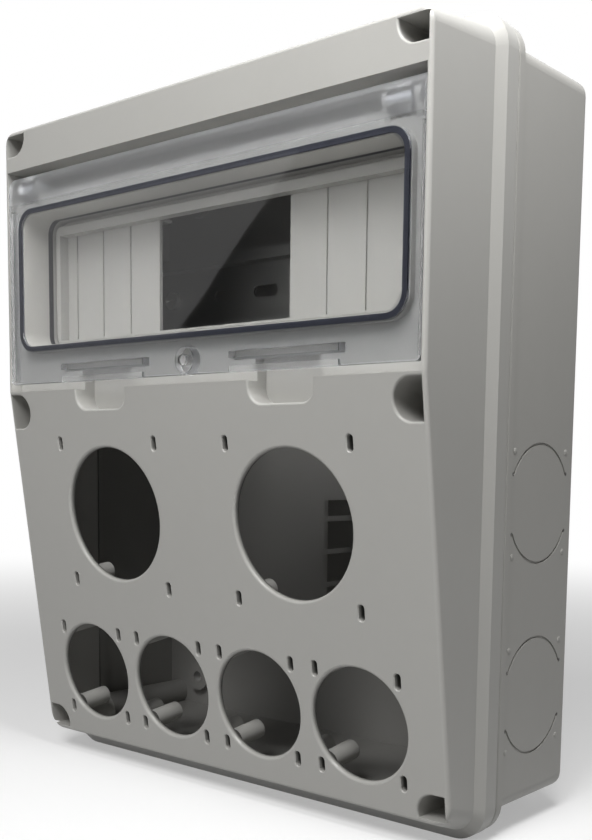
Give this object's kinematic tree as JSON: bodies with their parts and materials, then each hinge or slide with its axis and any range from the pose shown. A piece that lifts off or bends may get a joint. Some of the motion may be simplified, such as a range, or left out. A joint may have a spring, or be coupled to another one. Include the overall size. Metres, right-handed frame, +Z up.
{
  "type": "industrial socket enclosure",
  "caption": "Wall-mounted plastic enclosure with a clear hinged door over a module window and a sloped panel of round socket openings.",
  "frame": {"origin": "centre of the flat back face that lies on the wall", "axes": "+Z up, +Y into the wall, the door and sockets face -Y, +X to the right seen from the front"},
  "size_m": [0.2314, 0.1005, 0.2886],
  "materials": {
    "cover_plastic": "satin moulded",
    "base_plastic": "satin moulded",
    "frame_plastic": "satin moulded",
    "strip_plastic": "satin moulded",
    "clear_plastic": "clear, lightly smoked",
    "door_rubber": "dark soft seal",
    "gasket_rubber": "foamed seal",
    "pin_plastic": "smooth moulded",
    "screw_steel": "plated",
    "rail_steel": "zinc plated"
  },
  "bodies": {
    "enclosure": {"base": "base_plastic", "front_cover": "cover_plastic", "cover_gasket": "gasket_rubber", "hinge_pin_left": "pin_plastic", "hinge_pin_right": "pin_plastic", "module_frame": "frame_plastic", "blanking_strip_left": "strip_plastic", "blanking_strip_right": "strip_plastic", "din_rail": "rail_steel", "rail_screw_left": "screw_steel", "rail_screw_right": "screw_steel", "cover_screw_top_left": "screw_steel", "cover_screw_top_right": "screw_steel", "cover_screw_middle_left": "screw_steel", "cover_screw_middle_right": "screw_steel", "cover_screw_bottom_left": "screw_steel", "cover_screw_bottom_right": "screw_steel", "screw_seal_top_left": "gasket_rubber", "screw_seal_top_right": "gasket_rubber", "screw_seal_middle_left": "gasket_rubber", "screw_seal_middle_right": "gasket_rubber", "screw_seal_bottom_left": "gasket_rubber", "screw_seal_bottom_right": "gasket_rubber"},
    "door": {"door": "clear_plastic", "door_seal": "door_rubber"}
  },
  "joints": [
    {"name": "door_hinge", "type": "hinge", "parent": "enclosure", "child": "door", "pos_m": [0, -0.094, 0.10875], "axis": [-1, 0, 0], "range_deg": [0, 95]}
  ]
}
